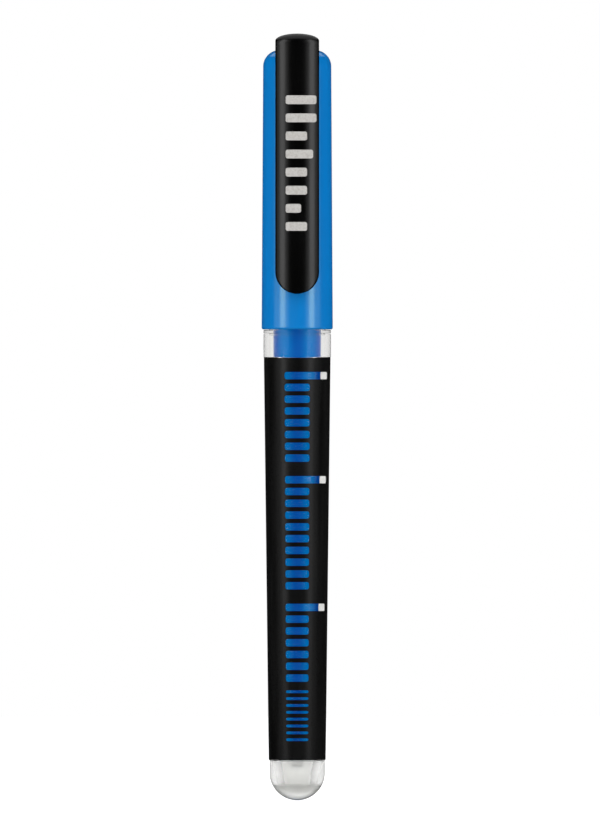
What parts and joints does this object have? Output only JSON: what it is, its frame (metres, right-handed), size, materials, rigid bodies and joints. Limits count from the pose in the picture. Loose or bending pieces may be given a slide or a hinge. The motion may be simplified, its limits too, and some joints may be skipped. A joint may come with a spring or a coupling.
{
  "type": "calligraphy marker",
  "caption": "Capped liquid-ink brush marker: clear barrel with ink tank and windowed black label, fibre brush nib, pull-off cap with a spring clip.",
  "frame": {"origin": "lowest point of the round tail, on the pen's axis", "axes": "+Z along the pen towards the cap's crown, -Y towards the pocket clip, +X to the clip's right seen from the front"},
  "size_m": [0.013, 0.0157, 0.14],
  "materials": {
    "barrel_tube": "clear, polished",
    "label_sleeve": "black film, satin, with windows",
    "tail_plug": "clear, polished",
    "ink_tank": "clear, polished",
    "ink_column": "blue writing ink, wet",
    "tank_seal": "black, satin",
    "section_body": "clear, polished",
    "collector": "stained blue by the ink",
    "feed_wick": "bonded fibre soaked with ink",
    "nose_cone": "black, fine satin",
    "brush_nib_root": "bonded fibre soaked with ink",
    "brush_nib_tip": "bonded fibre soaked with ink",
    "cap_shell": "blue, polished",
    "inner_cap": "natural, satin",
    "clip_root": "black, polished",
    "clip_arm": "black, polished, with a pale print"
  },
  "bodies": {
    "barrel": {"barrel_tube": "barrel_tube", "label_sleeve": "label_sleeve", "tail_plug": "tail_plug", "ink_tank": "ink_tank", "ink_column": "ink_column", "tank_seal": "tank_seal", "section_body": "section_body", "collector": "collector", "feed_wick": "feed_wick", "nose_cone": "nose_cone", "brush_nib_root": "brush_nib_root"},
    "nib": {"brush_nib_tip": "brush_nib_tip"},
    "cap": {"cap_shell": "cap_shell", "inner_cap": "inner_cap", "clip_root": "clip_root"},
    "clip": {"clip_arm": "clip_arm"}
  },
  "joints": [
    {"name": "cap_pull", "type": "slide", "parent": "barrel", "child": "cap", "axis": [0, 0, 1], "range_m": [0, 0.06]},
    {"name": "clip_flex", "type": "hinge", "parent": "cap", "child": "clip", "pos_m": [0, -0.0071, 0.138], "axis": [-1, 0, 0], "range_deg": [0, 5], "stiffness_Nm_per_rad": 1.5},
    {"name": "nib_flex", "type": "hinge", "parent": "barrel", "child": "nib", "pos_m": [0, 0, 0.1181], "axis": [1, 0, 0], "range_deg": [-10, 10], "stiffness_Nm_per_rad": 0.0064}
  ]
}
